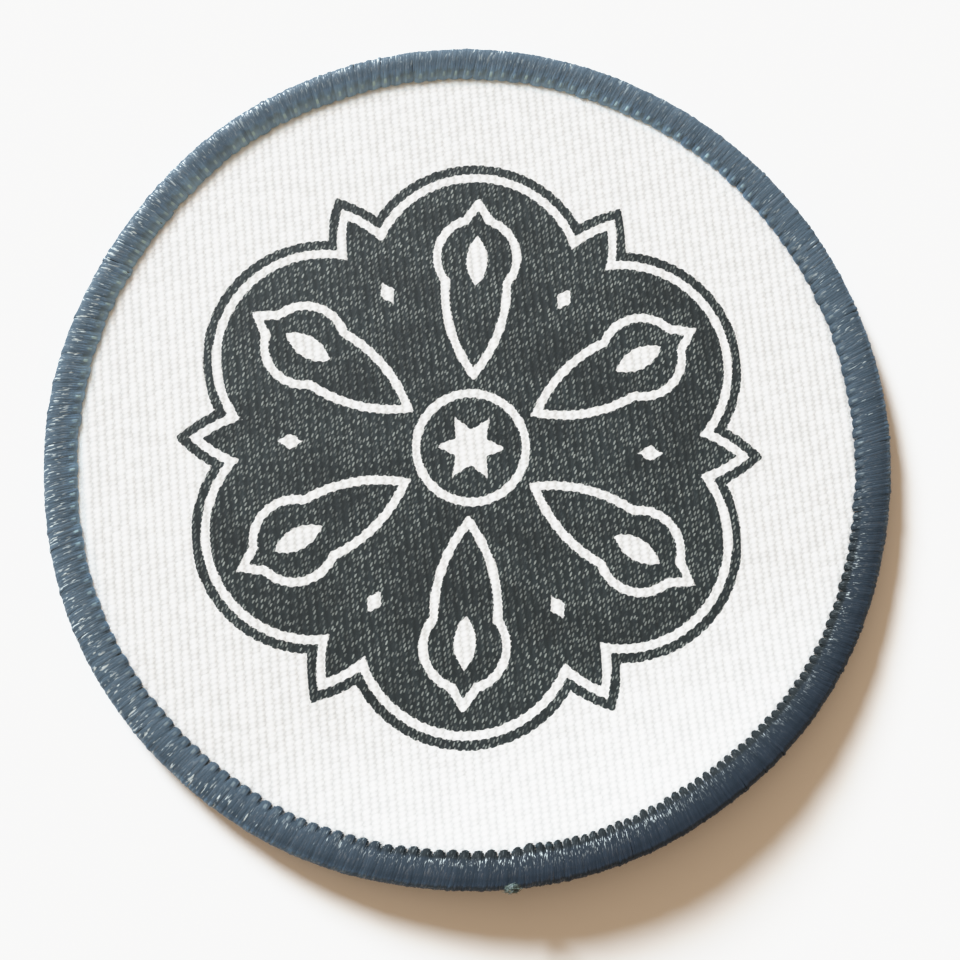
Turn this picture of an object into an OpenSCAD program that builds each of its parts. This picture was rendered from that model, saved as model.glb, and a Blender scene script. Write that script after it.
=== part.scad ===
// Round printed cloth patch with an overlocked thread border.
// It lies face up. The origin is on the surface below the patch's middle, X is to
// the right of the face, Y is to its top, and +Z comes out of the face.

/* [Patch] */
// Diameter over the stitched border
patch_d = 90; // [76:1:102]
// Thickness of the cloth in the middle, with its plain back
cloth_t = 1.7; // [1.4:0.1:2.2]
// Thickness of the cloth's edge where the stitches press it together
cloth_edge_t = 1.2; // [0.8:0.1:1.3]
// Colour of the twill
twill_colour = "whitesmoke"; // [whitesmoke, ivory, lightgray]

/* [Curl] */
// Radius that the lower part of the patch is bent up to
curl_r = 120; // [100:5:400]
// Distance from the middle at which the patch starts to lift
curl_start = 22; // [15:1:30]
// Direction in which it lifts, counted from X
curl_turn = -72; // [-90:1:-50]

/* [Border] */
// Width of the stitching on the face
border_w = 3.6; // [3.0:0.1:4.2]
// Height of the roll's crest above the surface
border_h = 2.8; // [2.6:0.1:3.4]
// Distance of the crest from the outer edge
crest_in = 1.75; // [1.4:0.05:2.1]
// Distance that the cloth's edge stops short of the outer edge
bite = 1.5; // [1.2:0.1:1.8]
// Width of the stitching on the back
back_w = 3.5; // [3.2:0.1:4.0]
// Steps round the border
ring_steps = 120; // [72:12:144]
// Colour of the thread
thread_colour = "darkslategray"; // [darkslategray, midnightblue, black]

/* [Lap] */
// Place of the lap where the stitching starts and ends, counted from X
lap_turn = -81; // [-95:1:-70]
// How much the roll swells at the lap
lap_swell = 0.08; // [0:0.01:0.12]
// Half the length of the swell along the edge
lap_half = 3.5; // [3:0.5:8]
// Radius of the sealed knot of thread
knot_r = 0.44; // [0.3:0.02:0.5]
// Place of the knot round the edge, counted from X
knot_turn = -85; // [-95:1:-75]
// Place of the knot on the roll: 90 is the crest, 180 the outer side
knot_on = 115; // [100:1:138]

/* [Print] */
// Turn of the print on the cloth
print_turn = -1.7; // [-5:0.1:5]
// Number of petals in the rosette
petals = 6; // [6]
// Distance from the middle to each lobe's centre
lobe_place = 18.6; // [17:0.2:20]
// Radius of a lobe of the black field
lobe_r = 11; // [10:0.2:11.6]
// Width of the white line inside the contour
white_line = 0.9; // [0.7:0.05:1.1]
// Width of the black contour line
contour = 1.0; // [0.8:0.05:1.2]
// Colour of the ink
ink_colour = "#3c4346"; // [#3c4346, #202428, #000000]

/* [Hidden] */
$fn = 96;

// Clearance between the cloth and the stitches that hold it
gap = 0.05;
// Clearance under the ink, and the ink's own thickness
ink_gap = 0.03;
ink_t = 0.1;

patch_r = patch_d / 2;
// The cloth's pressed edge sits above the stitches on the back
edge_low = cloth_t - cloth_edge_t;
edge_r = patch_r - bite - 2 * gap;
back_r = patch_r - back_w - 4 * gap;

// Curl. A level is a height in the flat patch. Levels bend as concentric arcs
// about a line that is curl_r above the surface, so every thickness is kept.
curl_dir = [cos(curl_turn), sin(curl_turn)];
function along_curl(p) = p[0] * curl_dir[0] + p[1] * curl_dir[1] - curl_start;
function lifted(level, run) =
    run <= 0 ? level : curl_r - sqrt(pow(curl_r - level, 2) - run * run);
function bent(p, level) = [p[0], p[1], lifted(level, along_curl(p))];

// A slab between two levels, bent with the patch and wider than it
module bent_slab(low, high) {
    reach = patch_r + 5;
    rotate([0, 0, curl_turn])
        rotate([90, 0, 0])
            linear_extrude(height = 2 * reach, center = true) {
                translate([-reach, low])
                    square([reach + curl_start, high - low]);
                intersection() {
                    translate([curl_start, curl_r])
                        difference() {
                            circle(r = curl_r - low, $fn = 360);
                            circle(r = curl_r - high, $fn = 360);
                        }
                    translate([curl_start, 0])
                        square([reach - curl_start, curl_r / 2]);
                }
            }
}

// The twill disc: full thickness in the middle, pressed thinner at its edge
module twill_face() {
    color(twill_colour) {
        intersection() {
            bent_slab(0, cloth_t);
            cylinder(r = back_r, h = curl_r);
        }
        intersection() {
            bent_slab(edge_low, cloth_t);
            cylinder(r = edge_r, h = curl_r);
        }
    }
}

// A quarter of an ellipse about [in, level], from one angle to another
function quarter(centre, radii, from, to, steps) = [
    for (i = [0 : steps])
        let (a = from + (to - from) * i / steps)
        centre + [radii[0] * cos(a), radii[1] * sin(a)]
];

// Section of the border: [distance in from the outer edge, level]
toe = cloth_t + gap;
side = 1.2;
foot = 1.1;
back_soft = 0.15;
border_section = concat(
    quarter([crest_in, toe], [border_w - crest_in, border_h - toe], 0, 90, 4),
    quarter([crest_in, side], [crest_in, border_h - side], 105, 180, 4),
    quarter([foot, side], [foot, side], 200, 270, 3),
    [
        [back_w - back_soft, 0],
        [back_w, back_soft],
        [back_w, edge_low - gap],
        [bite, edge_low - gap],
        [bite, toe]
    ]
);

// How much the roll is swollen at an angle round the patch
function swell(turn) =
    let (away = abs(turn - lap_turn) * PI / 180 * patch_r / lap_half)
    away < 1 ? 1 + lap_swell * (1 + cos(180 * away)) / 2 : 1;

// A point of the section at an angle round the patch, swollen only above the cloth
function border_point(turn, p) =
    let (
        s = p[1] >= toe ? swell(turn) : 1,
        in = p[0] > crest_in ? crest_in + (p[0] - crest_in) * s : p[0],
        level = toe + (p[1] - toe) * s,
        r = patch_r - in
    )
    bent([r * cos(turn), r * sin(turn)], level);

// The roll of overlock stitching, swept round the edge
module merrow_border() {
    n = len(border_section);
    color(thread_colour)
        polyhedron(
            points = [
                for (i = [0 : ring_steps - 1], p = border_section)
                    border_point(-180 + i * 360 / ring_steps, p)
            ],
            faces = [
                for (i = [0 : ring_steps - 1], j = [0 : n - 1])
                    let (
                        next_ring = (i + 1) % ring_steps * n,
                        next = (j + 1) % n
                    )
                    [i * n + j, i * n + next, next_ring + next, next_ring + j]
            ]
        );
}

// The knot of melted thread ends that seals the lap, on the roll's outer shoulder
module thread_end() {
    on = quarter([crest_in, side], [crest_in, border_h - side], knot_on, knot_on, 1)[0];
    out = [cos(knot_on) / crest_in, sin(knot_on) / (border_h - side)];
    middle = on + out / norm(out) * (knot_r + 2 * gap);
    r = patch_r - middle[0];
    color(thread_colour)
        translate(bent([r * cos(knot_turn), r * sin(knot_turn)], middle[1]))
            sphere(r = knot_r);
}

// A film of ink on the cloth in the shape of its 2D children
module ink() {
    color(ink_colour)
        intersection() {
            bent_slab(cloth_t + ink_gap, cloth_t + ink_gap + ink_t);
            rotate([0, 0, print_turn])
                linear_extrude(height = curl_r / 4)
                    children();
        }
}

// Rosette sizes, each place counted from the middle
petal_step = 360 / petals;
leaf_place = 20;
leaf_l = 17;
leaf_w = 5.8;
petal_place = 17.5;
petal_l = 17.6;
petal_w = 5.8;
bud_place = 21;
bud_r = 3.9;
almond_place = 20.6;
almond_l = 5.6;
almond_w = 2.3;
gem_place = 19.2;
gem_l = 2.6;
gem_w = 1.7;
boss_r = 5.4;
star_r = 3.7;
star_in_r = 1.9;

// A leaf with two points along X, where two large circles overlap
module leaf(l, w, grow) {
    off = (l * l - w * w) / (4 * w);
    intersection_for (side_sign = [-1, 1])
        translate([0, side_sign * off])
            circle(r = off + w / 2 + grow);
}

// The rosette's outline, with every curve grown outwards by the same amount
module rosette(grow) {
    circle(r = lobe_place);
    for (i = [0 : petals - 1])
        rotate([0, 0, i * petal_step + petal_step / 2]) {
            translate([lobe_place, 0])
                circle(r = lobe_r + grow);
            rotate([0, 0, petal_step / 2])
                translate([leaf_place, 0])
                    leaf(leaf_l, leaf_w, grow);
        }
}

// One petal: a long leaf with a round bud on it, both grown by the same amount
module petal(grow) {
    translate([petal_place, 0])
        leaf(petal_l, petal_w, grow);
    translate([bud_place, 0])
        circle(r = bud_r + grow);
}

module at_petal(i) {
    rotate([0, 0, i * petal_step + petal_step / 2])
        children();
}

module print_outline() {
    difference() {
        ink()
            rosette(white_line + contour);
        rotate([0, 0, print_turn])
            linear_extrude(height = curl_r / 4)
                rosette(white_line);
    }
}

module print_field() {
    ink()
        difference() {
            rosette(0);
            for (i = [0 : petals - 1]) {
                at_petal(i)
                    petal(white_line);
                rotate([0, 0, i * petal_step])
                    translate([gem_place, 0])
                        polygon([[-gem_l, 0], [0, -gem_w], [gem_l, 0], [0, gem_w]] / 2);
            }
            circle(r = boss_r + white_line);
        }
}

module print_petal(i) {
    ink()
        at_petal(i)
            difference() {
                petal(0);
                translate([almond_place, 0])
                    leaf(almond_l, almond_w, 0);
            }
}

module print_boss() {
    ink()
        difference() {
            circle(r = boss_r);
            polygon([
                for (i = [0 : 2 * petals - 1])
                    let (r = i % 2 == 0 ? star_r : star_in_r)
                    r * [cos(i * petal_step / 2), sin(i * petal_step / 2)]
            ]);
        }
}

twill_face();
merrow_border();
thread_end();
print_outline();
print_field();
print_boss();
print_petal(0);  // print_petal_1
print_petal(1);  // print_petal_2
print_petal(2);  // print_petal_3
print_petal(3);  // print_petal_4
print_petal(4);  // print_petal_5
print_petal(5);  // print_petal_6
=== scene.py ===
import math

import bpy
import numpy as np
from mathutils import Matrix, Vector


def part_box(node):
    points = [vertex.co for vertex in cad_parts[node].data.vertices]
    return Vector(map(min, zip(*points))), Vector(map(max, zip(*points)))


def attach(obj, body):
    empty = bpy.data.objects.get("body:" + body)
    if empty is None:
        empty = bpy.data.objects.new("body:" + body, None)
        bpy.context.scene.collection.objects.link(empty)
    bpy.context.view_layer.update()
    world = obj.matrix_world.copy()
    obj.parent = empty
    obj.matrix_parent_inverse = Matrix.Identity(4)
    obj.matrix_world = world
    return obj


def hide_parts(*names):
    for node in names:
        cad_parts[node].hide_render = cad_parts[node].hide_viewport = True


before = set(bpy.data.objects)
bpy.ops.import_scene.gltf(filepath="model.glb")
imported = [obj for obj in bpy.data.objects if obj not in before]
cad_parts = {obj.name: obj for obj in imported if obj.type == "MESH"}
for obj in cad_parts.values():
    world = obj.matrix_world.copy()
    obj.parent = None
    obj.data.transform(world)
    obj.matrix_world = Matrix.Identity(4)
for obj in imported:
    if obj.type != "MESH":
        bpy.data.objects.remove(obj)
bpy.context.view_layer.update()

# The view: a camera held nearly straight above the patch, about a hand's width away,
# and leaning a little towards the patch's lower edge and its left.
camera_place = Vector((-0.0018, -0.0166, 0.1070))
camera_aim = Vector((0.0010, -0.0033, 0.0))
camera_lens = 37.5

looking = (camera_aim - camera_place).normalized()
to_right = looking.cross(Vector((0, 1, 0))).normalized()
to_top = to_right.cross(looking)
bpy.ops.object.camera_add()
camera = bpy.context.object
camera.name = "camera"
camera.matrix_world = Matrix.Translation(camera_place) @ Matrix(
    (to_right, to_top, -looking)
).transposed().to_4x4()
camera.data.lens = camera_lens
camera.data.clip_start = 0.002
bpy.context.scene.camera = camera

# White cloth on white paper would be all one white, so the lightest parts of the picture
# are held back on a soft curve: light that comes in, and how light it is shown.
tone_points = [(0.70, 0.70), (0.90, 0.845), (1.10, 0.918), (1.30, 0.952), (1.60, 0.978)]
tone_end = (2.2, 0.992)
picture = bpy.context.scene.view_settings
picture.view_transform = "Standard"
picture.use_curve_mapping = True
picture.curve_mapping.clip_max_x = tone_end[0]
tone = picture.curve_mapping.curves[3]
tone.points[-1].location = tone_end
for light_in, light_out in tone_points:
    tone.points.new(light_in, light_out)
picture.curve_mapping.update()

# The table: a plain sheet of white paper, lit by one low cool window from the upper
# left and a broad glow of the ceiling above it. The rest of the room is dim and warm, so
# the shadow on the paper is brownish.
paper_width = 6.0
paper_colour = (0.93, 0.93, 0.925, 1)
window_turn = math.radians(123)
window_height = math.radians(22.5)
window_spread = math.radians(17)
window_power = 8.2
window_colour = (0.88, 1.0, 1.085)
ceiling_height = math.radians(52)
ceiling_spread = math.radians(60)
ceiling_power = 0.44
ceiling_colour = (1.0, 0.78, 0.55)
room_colour = (0.32, 0.22, 0.14, 1)
backdrop_colour = (0.86, 0.86, 0.85, 1)


class Value:
    """A value inside a finish, on which sums are written as plain arithmetic."""

    def __init__(self, finish, socket):
        self.finish = finish
        self.socket = socket

    def output(self, name):
        return Value(self.finish, self.socket.node.outputs[name])

    def sum(self, operation, first, second=0.0):
        return self.finish.add("ShaderNodeMath", {"operation": operation}, {0: first, 1: second})

    def __add__(self, other):
        return self.sum("ADD", self, other)

    def __radd__(self, other):
        return self.sum("ADD", other, self)

    def __sub__(self, other):
        return self.sum("SUBTRACT", self, other)

    def __rsub__(self, other):
        return self.sum("SUBTRACT", other, self)

    def __mul__(self, other):
        return self.sum("MULTIPLY", self, other)

    def __rmul__(self, other):
        return self.sum("MULTIPLY", other, self)

    def __abs__(self):
        return self.sum("ABSOLUTE", self)

    def whole(self):
        return self.sum("FLOOR", self)

    def at_least(self, other):
        return self.sum("MAXIMUM", self, other)

    def at_most(self, other):
        return self.sum("MINIMUM", self, other)

    def root(self):
        return self.sum("SQRT", self.at_least(0.0))

    def eased(self, low, high):
        """0 below low, 1 above high, and a smooth step between them."""
        return self.finish.add(
            "ShaderNodeMapRange",
            {"interpolation_type": "SMOOTHSTEP"},
            {"Value": self, "From Min": low, "From Max": high},
        )


class Finish:
    """The nodes of one material, with its shader ready to be set."""

    def __init__(self, name):
        self.material = bpy.data.materials.new(name)
        self.material.use_nodes = True
        self.tree = self.material.node_tree
        self.shader = self.tree.nodes["Principled BSDF"]

    def fill(self, socket, value):
        if isinstance(value, Value):
            self.tree.links.new(value.socket, socket)
        else:
            socket.default_value = value

    def add(self, kind, settings, sockets):
        """A node of this kind: its settings first, then the values or links of its sockets."""
        node = self.tree.nodes.new(kind)
        for name, value in settings.items():
            setattr(node, name, value)
        for name, value in sockets.items():
            self.fill(node.inputs[name], value)
        return Value(self, node.outputs[0])

    def pair(self, first, second, third=0.0):
        return self.add("ShaderNodeCombineXYZ", {}, {"X": first, "Y": second, "Z": third})

    def noise(self, place, scale, detail=2.0, roughness=0.5):
        """Smooth noise from about 0.2 to 0.8."""
        return self.add(
            "ShaderNodeTexNoise",
            {"noise_dimensions": "3D"},
            {"Vector": place, "Scale": scale, "Detail": detail, "Roughness": roughness},
        )

    def chance(self, place):
        """A random value from 0 to 1 for each place."""
        return self.add("ShaderNodeTexWhiteNoise", {"noise_dimensions": "3D"}, {"Vector": place})

    def blend(self, factor, first, second):
        """The first colour where the factor is 0, and the second where it is 1."""
        mixed = self.add("ShaderNodeMix", {"data_type": "RGBA"}, {0: factor, 6: first, 7: second})
        return Value(self, mixed.socket.node.outputs[2])

    def set(self, **sockets):
        """Fills the shader's own sockets, named with _ for a space."""
        for name, value in sockets.items():
            self.fill(self.shader.inputs[name.replace("_", " ")], value)

    def give(self, piece):
        piece.data.materials.clear()
        piece.data.materials.append(self.material)


bpy.ops.object.select_all(action="DESELECT")
bpy.ops.mesh.primitive_plane_add(size=paper_width)
paper = bpy.context.object
paper.name = "paper"
matt_paper = Finish("matt white paper")
matt_paper.set(Base_Color=paper_colour, Roughness=0.9, Specular_IOR_Level=0.1)
matt_paper.give(paper)


def far_light(name, turn, height, spread, power, colour):
    """A distant light that comes from this direction."""
    bpy.ops.object.light_add(type="SUN")
    light = bpy.context.object
    light.name = name
    level = math.cos(height)
    towards = Vector((math.cos(turn) * level, math.sin(turn) * level, math.sin(height)))
    light.rotation_euler = towards.to_track_quat("Z", "Y").to_euler()
    light.data.energy = power
    light.data.color = colour
    light.data.angle = spread


far_light("window", window_turn, window_height, window_spread, window_power, window_colour)
far_light("ceiling", window_turn, ceiling_height, ceiling_spread, ceiling_power, ceiling_colour)

# The room lights the patch evenly. Only the empty space behind it looks pale.
room = bpy.data.worlds.new("room")
room.use_nodes = True
room_nodes = room.node_tree.nodes
room_light = room_nodes["Background"]
room_light.inputs["Color"].default_value = room_colour
room_backdrop = room_nodes.new("ShaderNodeBackground")
room_backdrop.inputs["Color"].default_value = backdrop_colour
room_choice = room_nodes.new("ShaderNodeMixShader")
room_links = room.node_tree.links
room_links.new(room_nodes.new("ShaderNodeLightPath").outputs["Is Camera Ray"], room_choice.inputs[0])
room_links.new(room_light.outputs[0], room_choice.inputs[1])
room_links.new(room_backdrop.outputs[0], room_choice.inputs[2])
room_links.new(room_choice.outputs[0], room_nodes["World Output"].inputs["Surface"])
bpy.context.scene.world = room

# The cloth: a disc of white polyester twill, pressed thin where the border holds it.
# Its diagonal floats stand in upright wales. The black print has soaked into the floats,
# so its edges step from float to float, and its pale flecks are bare fibre and painted glints.
cloth_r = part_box("twill_face")[1][0]
cloth_t = 0.0017
pressed_low = 0.0005
full_r = 0.0413
woven_r = 0.0418
curl_r = 0.120
curl_start = 0.022
curl_turn = math.radians(-72)
wale = 0.0009
row = 0.00054
wale_lean = math.radians(6)
float_slant = 0.5
fleck_slant = 2.0
steps_in_wale = 4
steps_in_row = 2
wale_relief = 0.000030
float_relief = 0.000016
rim_steps = 240
back_rings = 7

print_turn = math.radians(-1.7)
print_scale = 0.001
# The print's own sizes are in millimetres, each place counted from the middle
petals = 6
petal_step = 360 / petals
lobe_place = 18.6
lobe_r = 11
point_place = 20
point_l = 17
point_w = 5.8
petal_place = 17.5
petal_l = 17.6
petal_w = 5.8
bud_place = 21
bud_r = 3.9
almond_place = 20.6
almond_l = 5.6
almond_w = 2.3
gem_place = 19.2
gem_l = 2.6
gem_w = 1.7
boss_r = 5.4
star_r = 3.7
star_dent_r = 1.9
white_line = 0.9
black_line = 1.0

white_crown = (0.97, 0.967, 0.957, 1)
white_gap_shade = (0.61, 0.607, 0.60, 1)
painted_cool_white = (0.80, 0.93, 1.0, 1)
ink_dark = (0.010, 0.016, 0.018, 1)
ink_worn = (0.016, 0.025, 0.028, 1)
ink_gap_shade = (0.007, 0.010, 0.011, 1)
ink_fleck = (0.33, 0.36, 0.34, 1)


def lifted(x, y, level):
    """The height of a point of the flat patch once the lower right has curled up."""
    run = np.maximum(x * math.cos(curl_turn) + y * math.sin(curl_turn) - curl_start, 0)
    bent = curl_r - np.sqrt((curl_r - level) ** 2 - run * run)
    return np.where(run > 0, bent, level)


def disc(x, y, place, r):
    """How far inside a circle on the X axis each point is."""
    return r - np.hypot(x - place, y)


def leaf(x, y, place, length, width, grow=0.0):
    """How far inside a pointed leaf along the X axis each point is."""
    off = (length**2 - width**2) / (4 * width)
    r = off + width / 2 + grow
    return np.minimum(r - np.hypot(x - place, y - off), r - np.hypot(x - place, y + off))


def gem(x, y, place, length, width):
    """How far inside a small lozenge on the X axis each point is."""
    near = 1 - np.abs(x - place) * 2 / length - np.abs(y) * 2 / width
    return near * length * width / 2 / math.hypot(length, width)


def star(x, y, tip, dent):
    """How far inside a star with a point for each petal each point is."""
    sector = 2 * math.pi / petals
    turn = np.abs((np.arctan2(y, x) + sector / 2) % sector - sector / 2)
    far = np.hypot(x, y)
    dent_x = dent * math.cos(sector / 2)
    dent_y = dent * math.sin(sector / 2)
    side = math.hypot(tip - dent_x, dent_y)
    along_x = tip - far * np.cos(turn)
    return (along_x * dent_y - far * np.sin(turn) * (tip - dent_x)) / side


def turned(x, y, degrees):
    """The points as seen from an X axis turned by so many degrees."""
    turn = math.radians(degrees)
    return x * math.cos(turn) + y * math.sin(turn), y * math.cos(turn) - x * math.sin(turn)


def rosette(x, y, grow):
    """How far inside the six-lobed outline each point is."""
    inside = disc(x, y, 0, lobe_place)
    for i in range(petals):
        across, up = turned(x, y, i * petal_step + petal_step / 2)
        inside = np.maximum(inside, disc(across, up, lobe_place, lobe_r + grow))
        across, up = turned(x, y, i * petal_step)
        inside = np.maximum(inside, leaf(across, up, point_place, point_l, point_w, grow))
    return inside


def printed(x, y):
    """How far inside the print's black each point is, in millimetres."""
    x, y = turned(x / print_scale, y / print_scale, math.degrees(print_turn))
    contour = np.minimum(rosette(x, y, white_line + black_line), -rosette(x, y, white_line))
    field = np.minimum(rosette(x, y, 0), -disc(x, y, 0, boss_r + white_line))
    black = np.minimum(disc(x, y, 0, boss_r), -star(x, y, star_r, star_dent_r))
    for i in range(petals):
        across, up = turned(x, y, i * petal_step)
        field = np.minimum(field, -gem(across, up, gem_place, gem_l, gem_w))
        across, up = turned(x, y, i * petal_step + petal_step / 2)
        petal = np.maximum(
            leaf(across, up, petal_place, petal_l, petal_w), disc(across, up, bud_place, bud_r)
        )
        petal_hole = np.maximum(
            leaf(across, up, petal_place, petal_l, petal_w, white_line),
            disc(across, up, bud_place, bud_r + white_line),
        )
        almond = leaf(across, up, almond_place, almond_l, almond_w)
        field = np.minimum(field, -petal_hole)
        black = np.maximum(black, np.minimum(petal, -almond))
    return np.maximum(np.maximum(contour, field), black)


def strip(outer, inner, outer_turn, inner_turn):
    """Triangles between two loops of points that are listed by their angle."""
    faces = []
    i = 0
    j = 0
    while i < len(outer) or j < len(inner):
        next_outer = outer_turn[i + 1] if i + 1 < len(outer) else outer_turn[0] + 2 * math.pi
        next_inner = inner_turn[j + 1] if j + 1 < len(inner) else inner_turn[0] + 2 * math.pi
        here = (outer[i % len(outer)], inner[j % len(inner)])
        if j >= len(inner) or (i < len(outer) and next_outer <= next_inner):
            faces.append((here[0], outer[(i + 1) % len(outer)], here[1]))
            i += 1
        else:
            faces.append((here[0], inner[(j + 1) % len(inner)], here[1]))
            j += 1
    return faces


# Each float is four steps of the mesh wide and two high.
reach_across = int(woven_r / wale * steps_in_wale) + 2
reach_along = int(woven_r / row * steps_in_row) + 2
across_steps, along_steps = np.meshgrid(
    np.arange(-reach_across, reach_across + 1),
    np.arange(-reach_along, reach_along + 1),
    indexing="ij",
)
across_mm = across_steps * wale / steps_in_wale
along_mm = along_steps * row / steps_in_row
kept = np.hypot(across_mm, along_mm) < woven_r
cell_i, cell_k = np.nonzero(kept[:-1, :-1] & kept[1:, :-1] & kept[1:, 1:] & kept[:-1, 1:])
width_k = across_steps.shape[1]
low_left = cell_i * width_k + cell_k
corners = np.stack(
    [low_left, low_left + width_k, low_left + width_k + 1, low_left + 1], axis=1
)
used, corners = np.unique(corners, return_inverse=True)
corners = corners.reshape(-1, 4)
u = across_mm.ravel()[used]
v = along_mm.ravel()[used]
woven_count = len(u)

# The jagged rim of the weave, followed from point to point, is joined to a round rim
# that the border hides.
sides = np.stack([corners, np.roll(corners, -1, axis=1)], axis=2).reshape(-1, 2)
known = {tuple(side) for side in sides.tolist()}
onward = {start: end for start, end in known if (end, start) not in known}
rim = [next(iter(onward))]
while onward[rim[-1]] != rim[0]:
    rim.append(onward[rim[-1]])
rim = np.array(rim)
rim_turn = np.unwrap(np.arctan2(v[rim], u[rim]))
first = int(np.argmin(np.abs(rim_turn - 2 * math.pi * np.ceil(rim_turn.min() / (2 * math.pi)))))
rim = np.roll(rim, -first)
rim_turn = np.unwrap(np.arctan2(v[rim], u[rim]))
ring_turn = np.arange(rim_steps) * 2 * math.pi / rim_steps
ring_places = [(cloth_r, cloth_t), (cloth_r, pressed_low), (full_r, pressed_low), (full_r, 0.0)]
ring_places += [(full_r * (1 - i / back_rings), 0.0) for i in range(1, back_rings)]
x = u * math.cos(wale_lean) - v * math.sin(wale_lean)
y = u * math.sin(wale_lean) + v * math.cos(wale_lean)
place_in_wale = u / wale - np.floor(u / wale + 0.5)
place_in_row = v / row - float_slant * place_in_wale
crown = np.cos(math.pi * place_in_wale) ** 2
level = cloth_t - wale_relief * (1 - crown)
level = level + float_relief / 2 * crown * np.cos(2 * math.pi * place_in_row)
ink = printed(x, y)
for ring_r, ring_level in ring_places:
    x = np.append(x, ring_r * np.cos(ring_turn + wale_lean))
    y = np.append(y, ring_r * np.sin(ring_turn + wale_lean))
    level = np.append(level, np.full(rim_steps, ring_level))
x = np.append(x, 0)
y = np.append(y, 0)
level = np.append(level, 0)
ink = np.append(ink, np.full(len(x) - woven_count, -1))
rings = [woven_count + i * rim_steps + np.arange(rim_steps) for i in range(len(ring_places))]
faces = [tuple(corner) for corner in corners.tolist()]
faces += strip(rings[0].tolist(), rim.tolist(), ring_turn, rim_turn)
for near, far in zip(rings, rings[1:]):
    for i in range(rim_steps):
        following = (i + 1) % rim_steps
        faces.append((int(near[i]), int(far[i]), int(far[following]), int(near[following])))
middle = len(x) - 1
back_ring = rings[-1].tolist()
faces += [(back_ring[i], middle, back_ring[(i + 1) % rim_steps]) for i in range(rim_steps)]

twill_mesh = bpy.data.meshes.new("twill")
twill_mesh.from_pydata(np.stack([x, y, lifted(x, y, level)], axis=1).tolist(), [], faces)
twill = bpy.data.objects.new("twill", twill_mesh)
bpy.context.collection.objects.link(twill)
ink_layer = twill_mesh.attributes.new("ink", "FLOAT", "POINT")
ink_layer.data.foreach_set("value", ink)
weave_layer = twill_mesh.uv_layers.new(name="weave")
corner_points = np.empty(len(twill_mesh.loops), dtype=np.int64)
twill_mesh.loops.foreach_get("vertex_index", corner_points)
weave_u = (x * math.cos(wale_lean) + y * math.sin(wale_lean)) / wale + 0.5
weave_v = (y * math.cos(wale_lean) - x * math.sin(wale_lean)) / row + 0.5
weave_layer.data.foreach_set(
    "uv", np.stack([weave_u[corner_points], weave_v[corner_points]], axis=1).ravel()
)


def neaten(piece, angle=60):
    """Turns a piece's faces outwards and rounds its shading."""
    bpy.ops.object.select_all(action="DESELECT")
    piece.select_set(True)
    bpy.context.view_layer.objects.active = piece
    bpy.ops.object.mode_set(mode="EDIT")
    bpy.ops.mesh.select_all(action="SELECT")
    bpy.ops.mesh.normals_make_consistent(inside=False)
    bpy.ops.object.mode_set(mode="OBJECT")
    bpy.ops.object.shade_smooth_by_angle(angle=math.radians(angle))


neaten(twill)

polyester = Finish("printed white twill")
weave = polyester.add("ShaderNodeUVMap", {"uv_map": "weave"}, {})
parts = polyester.add("ShaderNodeSeparateXYZ", {}, {"Vector": weave})
across = parts.output("X")
along = parts.output("Y")
column = across.whole()
in_wale = across - column - 0.5
slanted = along - float_slant * in_wale
float_number = slanted.whole()
in_row = slanted - float_number - 0.5
own = polyester.pair(column, float_number)
luck = polyester.chance(own)
float_crown = 1 - (in_wale * 2.3) * (in_wale * 2.3) - (in_row * 1.9) * (in_row * 1.9)
fleck_row = along - float_number - 0.5 - fleck_slant * in_wale
bulge = float_crown.root()
fibre_place = polyester.pair(in_row * 6 + column * 7, in_wale * 1.6 + float_number * 3.7)
fibres = polyester.noise(fibre_place, 1.6, 3.0, 0.6)
drift = polyester.noise(weave, 0.09, 3.0, 0.5)

# Black where the ink reaches, stepping in and out with the floats at its edge
ink_depth = polyester.add("ShaderNodeAttribute", {"attribute_name": "ink"}, {}).output("Fac")
ragged = (bulge - 0.5) * 0.12 + (polyester.noise(weave, 1.3, 2.0, 0.6) - 0.5) * 0.20
black = (ink_depth + ragged).eased(-0.035, 0.05)

# Bare white: bright floats, greyer with painted shade in the gaps between wales and rows
wale_gap = abs(in_wale).eased(0.0, 0.5)
row_gap = abs(in_row).eased(0.0, 0.5)
grey = wale_gap * 0.62 + row_gap * 0.42 + (fibres - 0.5) * 1.3 + (luck - 0.5) * 0.40
white = polyester.blend(grey.at_least(0.0).at_most(1.0), white_crown, white_gap_shade)

# Painted light: beside the pale thread of the upper left the cloth's shade is tinted cool blue
cloth_place = polyester.add("ShaderNodeTexCoord", {}, {}).output("Object")
cloth_axes = polyester.add("ShaderNodeSeparateXYZ", {}, {"Vector": cloth_place})
cloth_x = cloth_axes.output("X")
cloth_y = cloth_axes.output("Y")
from_middle = (cloth_x * cloth_x + cloth_y * cloth_y).root()
to_window = cloth_x * (math.cos(window_turn) / cloth_r)
to_window = to_window + cloth_y * (math.sin(window_turn) / cloth_r)
painted_cool_light = from_middle.eased(0.0404, 0.0415) * to_window.eased(0.0, 0.6)
white = polyester.blend(painted_cool_light * 0.7, white, painted_cool_white)
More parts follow.
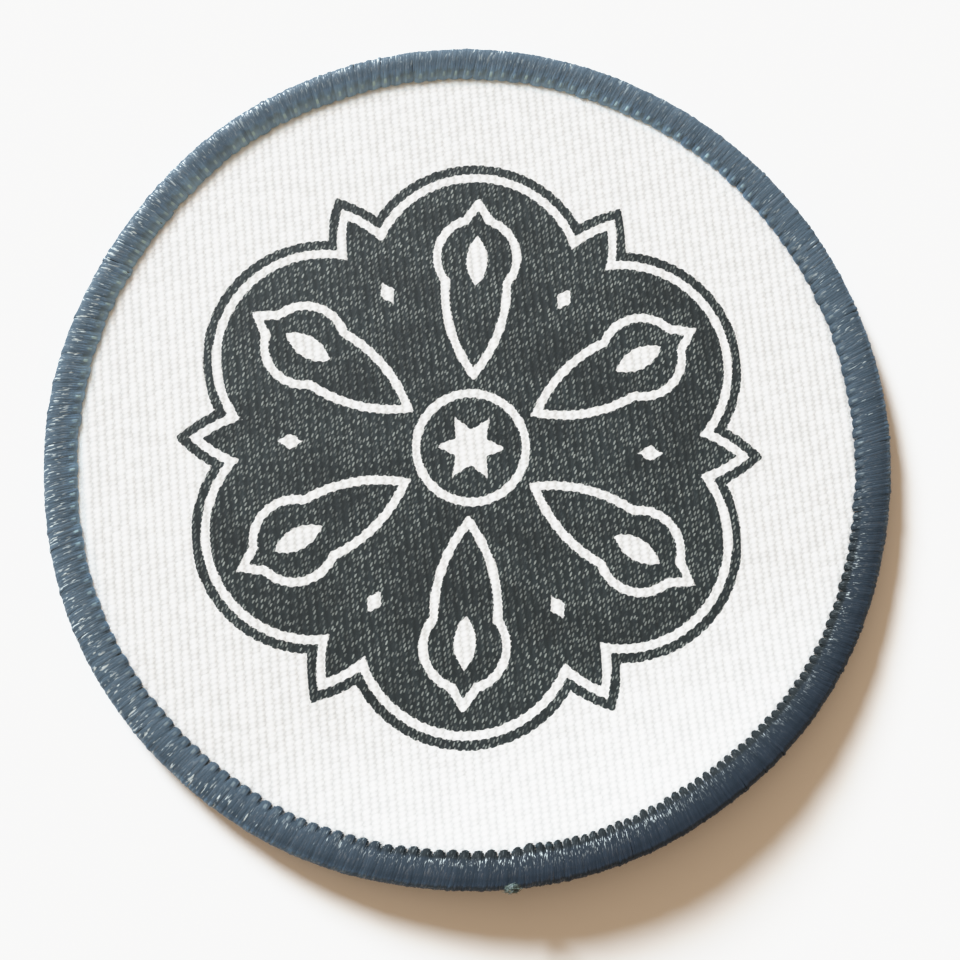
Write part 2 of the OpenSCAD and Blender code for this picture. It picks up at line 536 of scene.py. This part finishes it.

# Ink: near black, with pale flecks of bare fibre and painted glint on many floats and in gaps
shift = polyester.chance(polyester.pair(float_number, column)) - 0.5
fleck_side = (in_wale - shift * 0.30) * 5.0
fleck_end = (fleck_row - shift * 0.4) * 2.9
core = (1 - fleck_side * fleck_side - fleck_end * fleck_end).at_least(0.0)
from_gap = in_wale - in_wale.whole() - 0.5
gap_row = along + 0.5 - fleck_slant * from_gap
gap_number = gap_row.whole()
gap_luck = polyester.chance(polyester.pair((across + 0.5).whole(), gap_number + 0.4))
gap_side = from_gap * 5.6
gap_end = (gap_row - gap_number - 0.5) * 3.0
gap_core = (1 - gap_side * gap_side - gap_end * gap_end).at_least(0.0)
fleck = core.eased(0.05, 0.6) * (0.06 + 0.84 * luck)
fleck = fleck + gap_core.eased(0.05, 0.6) * gap_luck.eased(0.25, 1.0) * 0.7
fleck = fleck * (0.40 + 0.60 * drift.eased(0.30, 0.60))
dark = polyester.blend(drift.eased(0.35, 0.65), ink_dark, ink_worn)
# Painted shade: the ink is darker in the gaps between the wales
dark = polyester.blend(wale_gap * 0.3, dark, ink_gap_shade)
dark = polyester.blend(fleck.at_most(1.0), dark, ink_fleck)

bump = polyester.add(
    "ShaderNodeBump",
    {},
    {"Strength": 0.5, "Distance": 0.00010, "Height": bulge * 0.25 + fibres * 0.45},
)
polyester.set(
    Base_Color=polyester.blend(black, white, dark),
    Roughness=0.72,
    Specular_IOR_Level=0.35,
    Subsurface_Weight=0.8,
    Subsurface_Radius=(0.0015, 0.00145, 0.0014),
    Subsurface_Scale=1.0,
    Normal=bump,
)
polyester.give(twill)
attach(twill, "root")
print_nodes = ["print_outline", "print_field", "print_boss"]
print_nodes += [f"print_petal_{i + 1}" for i in range(6)]
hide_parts("twill_face", *print_nodes)

# The border's filling: the hidden turns of navy thread that the outer stitches bind
# into a firm roll. It only shows as dark depth between the threads.
patch_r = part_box("merrow_border")[1][0]
lap_turn = math.radians(-81)
lap_half = 0.0035
lap_swell = 0.16
toe = 0.00175
crest_in = 0.00175
core_section = [
    (0.00310, 0.00150),
    (0.00302, 0.00174),
    (0.00286, 0.00194),
    (0.00258, 0.00214),
    (0.00212, 0.00231),
    (0.00150, 0.00237),
    (0.00092, 0.00234),
    (0.00056, 0.00212),
    (0.00032, 0.00158),
    (0.00036, 0.00096),
    (0.00098, 0.00034),
    (0.00330, 0.00028),
    (0.00345, 0.00042),
    (0.00160, 0.00046),
    (0.00160, 0.00150),
]
# How far the edges of the real border stray outwards from true circles
edge_stray = [
    # turn, outer edge, inner edge
    (-180, 0.00013, 0.00002),
    (-150, 0.00051, 0.00043),
    (-120, 0.00048, 0.00027),
    (-90, 0.00000, -0.00030),
    (-60, 0.00011, -0.00037),
    (-30, 0.00045, 0.00032),
    (0, 0.00034, -0.00019),
    (30, 0.00011, -0.00016),
    (60, 0.00005, 0.00000),
    (90, 0.00027, 0.00016),
    (120, 0.00013, 0.00023),
    (150, -0.00023, -0.00013),
]
border_w = 0.0035
core_steps = 240
merge_reach = 0.000005
filling_dark = (0.008, 0.017, 0.030, 1)
filling_light = (0.016, 0.030, 0.050, 1)


def swollen(turn, inward, height):
    """The section's points at an angle round the patch, thicker where the ends lap."""
    away = np.abs((turn - lap_turn + math.pi) % (2 * math.pi) - math.pi) * patch_r / lap_half
    size = 1 + lap_swell * np.where(away < 1, (1 + np.cos(math.pi * np.minimum(away, 1))) / 2, 0)
    inward = np.where(inward > crest_in, crest_in + (inward - crest_in) * size, inward)
    height = np.where(height > toe, toe + (height - toe) * size, height)
    return inward, height


def strayed(turn, inward):
    """The points' distance in from the edge once it strays from its circle."""
    stray_turn, outer, inner = np.array(edge_stray).T
    place = (np.degrees(turn) - stray_turn[0]) % 360 / (360 / len(edge_stray))
    before = place.astype(int) % len(edge_stray)
    after = (before + 1) % len(edge_stray)
    share = (1 - np.cos(math.pi * (place % 1))) / 2
    outer = outer[before] * (1 - share) + outer[after] * share
    inner = inner[before] * (1 - share) + inner[after] * share
    return inward - outer - (inner - outer) * np.clip(inward / border_w, 0, 1)


def settle(piece, inward, turn, height):
    """Moves a piece's points to their place round the curled edge."""
    inward, height = swollen(turn, inward, height)
    inward = strayed(turn, inward)
    x = (patch_r - inward) * np.cos(turn)
    y = (patch_r - inward) * np.sin(turn)
    piece.data.vertices.foreach_set("co", np.stack([x, y, lifted(x, y, height)], axis=1).ravel())
    piece.data.update()


def points_of(piece):
    """A piece's points as rows of X, Y and Z."""
    found = np.empty(len(piece.data.vertices) * 3)
    piece.data.vertices.foreach_get("co", found)
    return found.reshape(-1, 3)


bpy.ops.object.select_all(action="DESELECT")
bpy.ops.mesh.primitive_circle_add(vertices=len(core_section), radius=crest_in)
border_core = bpy.context.object
border_core.name = "border_core"
for point, (inward, height) in zip(border_core.data.vertices, core_section):
    point.co = (patch_r - inward, 0, height)
bpy.ops.object.mode_set(mode="EDIT")
bpy.ops.mesh.select_all(action="SELECT")
bpy.ops.mesh.spin(steps=core_steps, angle=2 * math.pi, center=(0, 0, 0), axis=(0, 0, 1))
bpy.ops.mesh.select_all(action="SELECT")
bpy.ops.mesh.remove_doubles(threshold=merge_reach)
bpy.ops.object.mode_set(mode="OBJECT")
rows = points_of(border_core)
from_axis = np.hypot(rows[:, 0], rows[:, 1])
settle(border_core, patch_r - from_axis, np.arctan2(rows[:, 1], rows[:, 0]), rows[:, 2])
neaten(border_core)

filling = Finish("dark filling of the border")
where = filling.add("ShaderNodeTexCoord", {}, {}).output("Object")
filling_noise = filling.noise(where, 3000.0)
filling.set(
    Base_Color=filling.blend(filling_noise, filling_dark, filling_light),
    Roughness=0.6,
)
filling.give(border_core)
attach(border_core, "root")

# The overlock stitches: navy polyester thread, laid over the edge in one long seam that
# starts and ends at the lap. Each stitch is a bundle of five strands that is gathered to
# a rounded tooth on the cloth, crosses the roll aslant, and turns under to the back.
strands = 5
strand_sides = 5
long_pitch = 0.00129
short_pitch = 0.00091
seam_r = 0.0414
strand_half_w = 0.00021
strand_half_t = 0.00006
stitch_lean = math.radians(12)
more_lean = math.radians(6)
strand_route = [
    # distance in from the edge, level
    (0.00356, 0.00168),
    (0.00352, 0.00182),
    (0.00328, 0.00202),
    (0.00293, 0.00220),
    (0.00258, 0.00234),
    (0.00214, 0.00246),
    (0.00150, 0.00251),
    (0.00092, 0.00249),
    (0.00048, 0.00226),
    (0.00019, 0.00168),
    (0.00022, 0.00096),
    (0.00070, 0.00030),
    (0.00160, 0.00018),
    (0.00320, 0.00018),
    (0.00348, 0.00042),
]
# How close the strands of a stitch lie in its tooth, at the first points of the route
gathering = [0.60, 0.64, 0.72, 0.86, 1.0]
tooth_round = 0.00024
tooth_sag = 0.00010
tooth_uneven = 0.00005
# How the strands differ: in thickness, sideways at random, in a slow wave, up and down,
# and where some of them stand out of the roll's outer side
thick_luck = 0.08
side_luck = 0.12
wave_luck = 0.16
wave_step = 0.8
level_luck = 0.000010
stand_out = 0.000035
# The points of the route between which a tooth ends, its strands come loose from one
# another, and the roll's outer side begins and ends
tooth_stations = [2, 4]
loose_stations = [2, 5]
outer_stations = [6, 8, 10, 11]
# The teeth stand further apart at the lower edge, where the thread was pulled tighter
tightest_turn = math.radians(-75)
tight_least = 0.26
tight_low_edge = 0.60
tight_top = 0.16
thread_angle = 80
thread_seed = 7
seam_steps = 2001
short_from = 0.6
# How far apart the pieces of a row stand, each with a radius of 1
spacing = 4

# The pale colours below are painted light on the side towards the window
deep_first = (0.009, 0.0155, 0.024, 1)
deep_last = (0.0145, 0.0225, 0.034, 1)
pale_first = (0.054, 0.083, 0.112, 1)
pale_last = (0.077, 0.113, 0.149, 1)
# Painted light on the slopes that turn away from the window
away_deep = (0.034, 0.054, 0.086, 1)
away_first = (0.250, 0.440, 0.700, 1)
away_last = (0.390, 0.680, 1.0, 1)
tooth_colour = (0.004, 0.007, 0.008, 1)
painted_dim_colour = (0.003, 0.006, 0.008, 1)
# Painted glint dots, in shade and in the window's light
dot_away = (0.52, 0.84, 1.0, 1)
dot_lit = (0.15, 0.19, 0.21, 1)
painted_glint_colour = (0.60, 0.68, 0.69, 1)

# The seam runs clockwise from the lap. Its stitches are even at first and get shorter
# over the last part.
seam_part = np.linspace(0, 1, seam_steps)
ease = np.clip((seam_part - short_from) / (1 - short_from), 0, 1)
ease = ease * ease * (3 - 2 * ease)
seam_pitch = long_pitch + (short_pitch - long_pitch) * ease
pitch_between = (seam_pitch[1:] + seam_pitch[:-1]) / 2
stitch_sum = np.concatenate([[0], np.cumsum(np.diff(seam_part) / pitch_between)])
stitches = int(round(2 * math.pi * seam_r * stitch_sum[-1]))
stitch_sum *= stitches / stitch_sum[-1]


def seam_place(number):
    """The angle round the patch and the pitch at a stitch's number along the seam."""
    part = np.interp(number % stitches, stitch_sum, seam_part)
    return lap_turn - part * 2 * math.pi, np.interp(part, seam_part, seam_pitch)


route = np.array(strand_route)
route_steps = np.hypot(*np.diff(route, axis=0).T)
route_length = np.concatenate([[0], np.cumsum(route_steps)])
route_way = np.gradient(route, axis=0)
route_way /= np.hypot(route_way[:, 0], route_way[:, 1])[:, None]
route_out = np.stack([route_way[:, 1], -route_way[:, 0]], axis=1)


def lined_up(piece, count):
    """Repeats a piece of radius 1 in a row along Y."""
    row = piece.modifiers.new("row", "ARRAY")
    row.use_relative_offset = False
    row.use_constant_offset = True
    row.constant_offset_displace = (0, spacing, 0)
    row.count = count
    bpy.ops.object.modifier_apply(modifier=row.name)


def straight_row(name, sides, length, count):
    """A row of straight strands along X, each of radius 1 and cut at every whole length."""
    bpy.ops.object.select_all(action="DESELECT")
    bpy.ops.mesh.primitive_cylinder_add(
        vertices=sides,
        radius=1,
        depth=length,
        location=(length / 2, 0, 0),
        rotation=(math.pi / 2, 0, math.pi / 2),
    )
    piece = bpy.context.object
    piece.name = name
    bpy.ops.object.transform_apply(location=True, rotation=True, scale=True)
    bpy.ops.object.mode_set(mode="EDIT")
    for i in range(1, length):
        bpy.ops.mesh.select_all(action="SELECT")
        bpy.ops.mesh.bisect(plane_co=(i, 0, 0), plane_no=(1, 0, 0))
    bpy.ops.object.mode_set(mode="OBJECT")
    lined_up(piece, count)
    return piece


# The strands start straight, side by side, and are bent over the edge one by one
count = stitches * strands
stitching = straight_row("border_stitches", strand_sides, len(strand_route) - 1, count)
luck_of = np.random.default_rng(thread_seed)
rows = points_of(stitching)
strand = np.arange(len(rows)) // (len(rows) // count)
station = np.rint(rows[:, 0]).astype(int)
side_y = rows[:, 1] - strand * spacing
side_z = rows[:, 2]
half_strands = (strands - 1) / 2
in_stitch = strand % strands - half_strands
turn, pitch = seam_place(strand // strands + 0.5)
size = pitch / long_pitch
drift_of = luck_of.normal(0, 1, (count, 3))
thick_of = 1 + thick_luck * luck_of.normal(0, 1, count)
stitch_luck = luck_of.normal(0, 1, (stitches, 3))
tight = tight_least + tight_low_edge * np.maximum(0, np.cos(turn - tightest_turn))
tight = tight + tight_top * np.maximum(0, np.sin(turn))
gathered = 1 - (1 - np.interp(station, np.arange(len(gathering)), gathering)) * tight
loose = np.interp(station, loose_stations, [0.1, 1])
wave = np.sin(station * wave_step + 3 * drift_of[strand, 2])
wander = side_luck * drift_of[strand, 0] + wave_luck * drift_of[strand, 1] * wave
sideways = (in_stitch * gathered + wander * loose) * pitch / strands
sideways += side_y * strand_half_w * size * thick_of[strand]
lift = side_z * strand_half_t * np.sqrt(size) * thick_of[strand]
lift += level_luck * loose * drift_of[strand, 2]
outside = np.interp(station, outer_stations, [0, 1, 1, 0])
lift += stand_out * np.maximum(drift_of[strand, 1], -0.5) * outside
tooth_part = np.interp(station, tooth_stations, [1, 0])
in_tooth = (in_stitch / half_strands) ** 2 * tooth_part * tight
inward = route[station, 0] + route_out[station, 0] * lift - tooth_round * in_tooth
inward += tooth_uneven * stitch_luck[strand // strands, 0] * tooth_part
height = route[station, 1] + route_out[station, 1] * lift - tooth_sag * in_tooth
radius = patch_r - inward
lean = (stitch_lean + more_lean * np.maximum(0, np.cos(turn))) * np.cos(2 * turn)
aslant = (route_length[station] - route_length[2]) * np.tan(lean)
turn = turn + aslant / patch_r + sideways * (radius / seam_r) / radius
settle(stitching, inward, turn, height)
neaten(stitching, thread_angle)

strand_map = stitching.data.uv_layers.new(name="thread")
corner_points = np.empty(len(stitching.data.loops), dtype=np.int64)
stitching.data.loops.foreach_get("vertex_index", corner_points)
around_strand = np.arctan2(side_y, side_z) / (2 * math.pi)
thread_u = route_length[station] * 1000
strand_map.data.foreach_set(
    "uv", np.stack([thread_u[corner_points], around_strand[corner_points]], axis=1).ravel()
)
own_shade = stitching.data.attributes.new("own", "FLOAT", "POINT")
own_shade.data.foreach_set("value", luck_of.random(count)[strand])
# The middle strand of each stitch is marked for a painted glint dot on the inner slope
glint_dot_layer = stitching.data.attributes.new("glint_dot_strand", "FLOAT", "POINT")
glint_dot_layer.data.foreach_set("value", (in_stitch == 0).astype(float))

# How squarely the roll faces the window at each point
window_level = math.cos(window_height)
towards_window = -route_out[station, 0] * window_level * np.cos(turn - window_turn)
towards_window += route_out[station, 1] * math.sin(window_height)
facing_layer = stitching.data.attributes.new("facing", "FLOAT", "POINT")
facing_layer.data.foreach_set("value", towards_window)


def painted_light_side(finish):
    """0 for the deep navy at the lower right, 1 for painted light on the paler upper left."""
    where = finish.add("ShaderNodeTexCoord", {}, {}).output("Object")
    axes = finish.add("ShaderNodeSeparateXYZ", {}, {"Vector": where})
    side = axes.output("X") * (math.cos(window_turn) / patch_r)
    side = side + axes.output("Y") * (math.sin(window_turn) / patch_r)
    return side.eased(-1.0, 0.10)


navy = Finish("navy polyester thread")
thread_map = navy.add("ShaderNodeUVMap", {"uv_map": "thread"}, {})
thread_parts = navy.add("ShaderNodeSeparateXYZ", {}, {"Vector": thread_map})
run = thread_parts.output("X")
round_strand = thread_parts.output("Y")
own_luck = navy.add("ShaderNodeAttribute", {"attribute_name": "own"}, {}).output("Fac")
lengthwise = navy.pair(run * 0.9 + own_luck * 40, round_strand * 5, own_luck * 60)
filaments = navy.noise(lengthwise, 2.2, 3.0, 0.65)
glint_place = navy.pair(run * 2.0 + own_luck * 90, round_strand * 7, own_luck * 70)
glint_noise = navy.noise(glint_place, 1.0, 2.0, 0.6)
dash_place = navy.pair(run * 1.0 + own_luck * 50, round_strand * 4, own_luck * 30)
dash_noise = navy.noise(dash_place, 1.0, 2.0, 0.5)

# The teeth at the lower right are darkest. Thread that turns away from the window is
# painted paler: painted light that stands for light passing through the thread
side = painted_light_side(navy)
facing = navy.add("ShaderNodeAttribute", {"attribute_name": "facing"}, {}).output("Fac")
away = (1 - facing.eased(-0.25, 0.34)) * (1 - 0.55 * run.eased(2.8, 3.8))
tooth = (1 - run.eased(0.65, 1.0)) * (1 - side.eased(0.12, 0.36))
deep_thread = navy.blend(own_luck, deep_first, deep_last)
# Painted light: paler thread on the side towards the window
pale_thread = navy.blend(own_luck, pale_first, pale_last)
pale_away = navy.blend(own_luck, away_first, away_last)
thread_away = navy.blend(side, away_deep, pale_away)
thread_colour = navy.blend(away, navy.blend(side, deep_thread, pale_thread), thread_away)
thread_colour = navy.blend(tooth, thread_colour, tooth_colour)

# Painted glints of bare fibres that catch the light: dashes over the paler sides of the patch,
# and specks where its dark lower right is turned to the window
lit = facing.eased(0.40, 0.72)
# Painted shade: darker thread where the roll faces the window, holding back its light
thread_colour = navy.blend(lit * (0.5 - 0.4 * side), thread_colour, painted_dim_colour)
thread_place = navy.add("ShaderNodeTexCoord", {}, {}).output("Object")
thread_axes = navy.add("ShaderNodeSeparateXYZ", {}, {"Vector": thread_place})
thread_x = thread_axes.output("X")
thread_y = thread_axes.output("Y")
dull = ((thread_x - thread_y) * (0.707 / patch_r)).eased(0.84, 0.95)
shine = (1 - tooth * 0.9) * (1 - dull * 0.75)
glints = glint_noise.eased(0.54, 0.62) * (0.45 + 0.55 * own_luck) * shine
specks = glint_noise.eased(0.60, 0.67) * lit * (1 - 0.9 * side.eased(0.10, 0.40))
right = (thread_x * (1 / patch_r)).eased(0.30, 0.80)
outer_part = (run + right * 0.7).eased(1.0, 2.2)
outer_part = outer_part.at_least(1 - side.eased(0.30, 0.60))
outer_part = outer_part * (1 - right * run.eased(2.4, 3.1))
inner_part = (1 - run.eased(1.6, 2.2)).at_least(side.eased(0.30, 0.60))
upper = (thread_y * (1 / patch_r)).eased(0.40, 0.85)
upper_part = 1 - upper * (1 - lit) * 0.75
dashes = (dash_noise - 0.05 * (1 - side.eased(0.35, 0.80)) - 0.03 * right).eased(0.58, 0.67)
dashes = dashes * side.eased(0.22, 0.42) * outer_part * inner_part * upper_part
dashes = dashes * (1 - 0.35 * right)
# Painted highlight: a pale dot on the middle strand of each stitch near the inner edge
glint_dot_strand = navy.add("ShaderNodeAttribute", {"attribute_name": "glint_dot_strand"}, {}).output("Fac")
painted_dots = run.eased(0.34, 0.54) * (1 - run.eased(0.76, 1.02))
painted_dots = painted_dots * glint_dot_strand * side.eased(0.25, 0.55) * (0.25 + 0.75 * own_luck)
painted_dots = painted_dots * (1 - abs(round_strand).eased(0.08, 0.22))
painted_dot_colour = navy.blend(facing.eased(0.08, 0.34), dot_away, dot_lit)
thread_colour = navy.blend(painted_dots, thread_colour, painted_dot_colour)
# Painted highlights: pale fibre colour where the specks and dashes fall
painted_glint = specks.at_least(dashes) * shine
thread_colour = navy.blend(painted_glint * 0.85, thread_colour, painted_glint_colour)
navy.set(
    Base_Color=thread_colour,
    Roughness=0.66 + 0.06 * filaments - 0.20 * glints,
    Specular_IOR_Level=0.16,
    Coat_Weight=glints,
    Coat_Roughness=0.30,
    Coat_IOR=1.6,
    Normal=navy.add(
        "ShaderNodeBump", {}, {"Strength": 0.5, "Distance": 0.00006, "Height": filaments}
    ),
)
navy.give(stitching)
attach(stitching, "root")
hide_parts("merrow_border")

# The beads: the turn of each stitch round the needle thread. It is a small dome of dark
# thread that fills the stitch's tooth from below, so that no gap shows under the strands.
bead_in = 0.00312
bead_in_short = 0.00030
bead_level = 0.00174
bead_size = (0.00034, 0.00052, 0.00028)
bead_sides = 10
bead_rings = 6
bead_lean = 0.25
bead_luck_share = 0.06
bead_luck_step = 0.00003
lap_beads = 0.20
bead_deep_first = (0.006, 0.011, 0.012, 1)
bead_deep_last = (0.009, 0.015, 0.017, 1)
bead_pale_first = (0.120, 0.170, 0.215, 1)
bead_pale_last = (0.145, 0.205, 0.255, 1)

bpy.ops.object.select_all(action="DESELECT")
bpy.ops.mesh.primitive_uv_sphere_add(segments=bead_sides, ring_count=bead_rings, radius=1)
beads = bpy.context.object
beads.name = "border_beads"
lined_up(beads, stitches)
rows = points_of(beads)
bead = np.arange(len(rows)) // (len(rows) // stitches)
turn, pitch = seam_place(bead + 0.5)
size = pitch / long_pitch
bead_luck = luck_of.normal(0, 1, (stitches, 4))
from_lap = np.abs((turn - lap_turn + math.pi) % (2 * math.pi) - math.pi) * patch_r / lap_half
own_size = 1 + bead_luck_share * bead_luck[bead, 0] + lap_beads * np.clip(1 - from_lap, 0, 1)
inward = bead_in + (1 - size) * bead_in_short + tooth_uneven * stitch_luck[bead, 0]
inward = inward - rows[:, 0] * bead_size[0] * size**0.6 * own_size
height = bead_level + rows[:, 2] * bead_size[2] * size**0.5 * own_size
height = height + bead_luck_step * bead_luck[bead, 1]
sideways = (rows[:, 1] - bead * spacing) * bead_size[1] * size * own_size
sideways = sideways + bead_luck_step * bead_luck[bead, 2]
turn = turn + (sideways + rows[:, 0] * bead_size[0] * bead_lean) / seam_r
settle(beads, inward, turn, height)
neaten(beads, thread_angle)
bead_map = beads.data.uv_layers.new(name="thread")
corner_points = np.empty(len(beads.data.loops), dtype=np.int64)
beads.data.loops.foreach_get("vertex_index", corner_points)
bead_u = rows[:, 1] - bead * spacing
bead_v = np.hypot(rows[:, 0] + 1.2, bead_u) * 0.35
bead_map.data.foreach_set(
    "uv", np.stack([bead_u[corner_points], bead_v[corner_points]], axis=1).ravel()
)
own_shade = beads.data.attributes.new("own", "FLOAT", "POINT")
own_shade.data.foreach_set("value", luck_of.random(stitches)[bead])

shaded_navy = Finish("thread of the beads")
bead_place = shaded_navy.add("ShaderNodeUVMap", {"uv_map": "thread"}, {})
bead_parts = shaded_navy.add("ShaderNodeSeparateXYZ", {}, {"Vector": bead_place})
bead_own = shaded_navy.add("ShaderNodeAttribute", {"attribute_name": "own"}, {}).output("Fac")
turning = shaded_navy.pair(
    bead_parts.output("X") * 0.5 + bead_own * 40, bead_parts.output("Y") * 9, bead_own * 60
)
turns = shaded_navy.noise(turning, 2.0, 3.0, 0.6)
deep_bead = shaded_navy.blend(bead_own, bead_deep_first, bead_deep_last)
# Painted light: the beads are paler on the side towards the window
pale_bead = shaded_navy.blend(bead_own, bead_pale_first, bead_pale_last)
bead_colour = shaded_navy.blend(painted_light_side(shaded_navy), deep_bead, pale_bead)
shaded_navy.set(
    Base_Color=bead_colour,
    Roughness=0.50 + 0.16 * turns,
    Specular_IOR_Level=0.12,
    Coat_Weight=turns.eased(0.45, 0.62) * 0.1,
    Coat_Roughness=0.2,
    Normal=shaded_navy.add(
        "ShaderNodeBump", {}, {"Strength": 0.6, "Distance": 0.00006, "Height": turns}
    ),
)
shaded_navy.give(beads)
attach(beads, "root")

# The sealed end: the last thread tails, melted into a rough little knot on the roll's
# shoulder beside the lap, with pale fibres that curl over it and stand out of it.
knot_low, knot_high = (Vector(corner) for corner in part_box("thread_end"))
# The stitched roll is flatter here than the solid one, so the knot lies lower on it
knot_move = Vector((0.00020, -0.00020, -0.00040))
knot_middle = (knot_low + knot_high) / 2 + knot_move
knot_r = (knot_high.x - knot_low.x) / 2
knot_cuts = 4
knot_lumps = 14
lump_size = 0.10
lump_reach = 0.4
dent_or_lump = [-1.0, 1.4]
knot_body = 0.82
knot_stretch = 0.35
melted_dark = (0.010, 0.018, 0.020, 1)
melted_pale = (0.07, 0.10, 0.09, 1)
fibre_count = 70
fibre_r = 0.000045
fibre_shift = 0.00012
fibre_length = 6
fibre_sides = 4
fibre_swing = 1.1
fibre_start = 0.75
fibre_reach = (0.15, 0.60)
fibre_taper = 0.6
fibre_dark = (0.012, 0.022, 0.022, 1)
fibre_pale = (0.12, 0.155, 0.13, 1)

bpy.ops.object.select_all(action="DESELECT")
bpy.ops.mesh.primitive_ico_sphere_add(subdivisions=knot_cuts, radius=knot_r, location=knot_middle)
knot = bpy.context.object
knot.name = "thread_knot"
bpy.ops.object.transform_apply(location=True, rotation=False, scale=False)
rows = points_of(knot)
outward = (rows - np.array(knot_middle)) / knot_r
lumps = np.zeros(len(rows))
for i in range(knot_lumps):
    way = luck_of.normal(0, 1, 3)
    way /= np.linalg.norm(way)
    near = np.maximum(0, (outward @ way - 1 + lump_reach) / lump_reach)
    lumps += lump_size * near * luck_of.choice(dent_or_lump)
edge_way = np.array([-math.sin(lap_turn), math.cos(lap_turn), 0])
shape = outward * (knot_body + lumps)[:, None]
shape += knot_stretch * np.outer(shape @ edge_way, edge_way)
rows = np.array(knot_middle) + shape * knot_r
knot.data.vertices.foreach_set("co", rows.ravel())
knot.data.update()
neaten(knot, thread_angle)

# Each fibre leaves the knot at one side and bends over it, further out along the edge
knot_fibres = straight_row("knot_fibres", fibre_sides, fibre_length, fibre_count)
rows = points_of(knot_fibres)
fibre = np.arange(len(rows)) // (len(rows) // fibre_count)
share = rows[:, 0] / fibre_length
start = luck_of.normal(0, 1, (fibre_count, 3))
start /= np.linalg.norm(start, axis=1)[:, None]
swing = luck_of.normal(0, 1, (fibre_count, 3)) * fibre_swing
way = start[fibre] + swing[fibre] * share[:, None]
way /= np.linalg.norm(way, axis=1)[:, None]
reach = fibre_start + luck_of.uniform(*fibre_reach, fibre_count)[fibre] * share
stretched = way + np.outer(way @ edge_way, edge_way)
across_way = np.cross(way, swing[fibre])
across_way /= np.linalg.norm(across_way, axis=1)[:, None]
taper = fibre_r * (1 - fibre_taper * share)
outer_way = np.array([math.cos(lap_turn), math.sin(lap_turn), 0])
rows = (
    np.array(knot_middle)
    + outer_way * fibre_shift
    + stretched * (knot_r * reach)[:, None]
    + across_way * ((rows[:, 1] - fibre * spacing) * taper)[:, None]
    + way * (rows[:, 2] * taper)[:, None]
)
knot_fibres.data.vertices.foreach_set("co", rows.ravel())
knot_fibres.data.update()
neaten(knot_fibres, thread_angle)

melted = Finish("melted thread")
melted_place = melted.add("ShaderNodeTexCoord", {}, {}).output("Object")
melted_noise = melted.noise(melted_place, 6000.0, 3.0, 0.6)
melted.set(
    Base_Color=melted.blend(melted_noise.eased(0.4, 0.65), melted_dark, melted_pale),
    Roughness=0.42,
    Normal=melted.add(
        "ShaderNodeBump", {}, {"Strength": 0.8, "Distance": 0.0001, "Height": melted_noise}
    ),
)
melted.give(knot)
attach(knot, "root")
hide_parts("thread_end")

bare_fibre = Finish("bare fibre of the knot")
fibre_place = bare_fibre.add("ShaderNodeTexCoord", {}, {}).output("Object")
fibre_noise = bare_fibre.noise(fibre_place, 4000.0, 2.0, 0.6)
bare_fibre.set(
    Base_Color=bare_fibre.blend(fibre_noise.eased(0.4, 0.6), fibre_dark, fibre_pale),
    Roughness=0.5,
)
bare_fibre.give(knot_fibres)
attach(knot_fibres, "root")
